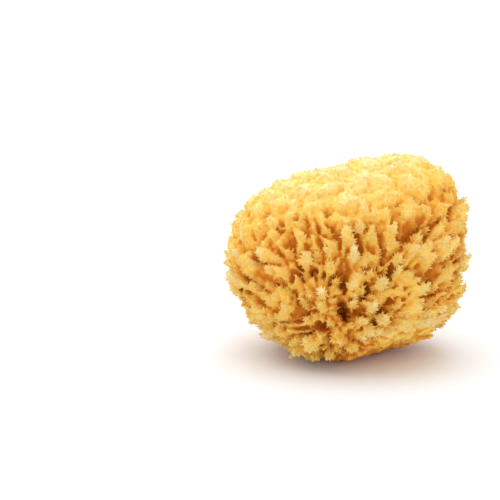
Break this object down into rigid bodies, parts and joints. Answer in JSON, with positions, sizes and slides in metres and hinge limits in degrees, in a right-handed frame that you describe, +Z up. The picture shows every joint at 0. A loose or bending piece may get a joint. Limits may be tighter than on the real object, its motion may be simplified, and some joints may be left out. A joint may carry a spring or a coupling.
{
  "type": "sea sponge",
  "caption": "Rounded natural bath sponge, wider than deep, with ragged tufts, water channels and deep pores, resting on a flat cut base.",
  "frame": {"origin": "on the table, under the middle of the sponge's box", "axes": "+Z up, +X along the sponge's widest side, to the right as seen from the front, and -Y to the front"},
  "size_m": [0.1204, 0.0933, 0.1028],
  "materials": {
    "sponge_fibre": "matte golden fibre that lets light through at the tips and goes amber brown in the channels"
  },
  "bodies": {
    "root": {"sponge": "sponge_fibre"}
  },
  "joints": []
}
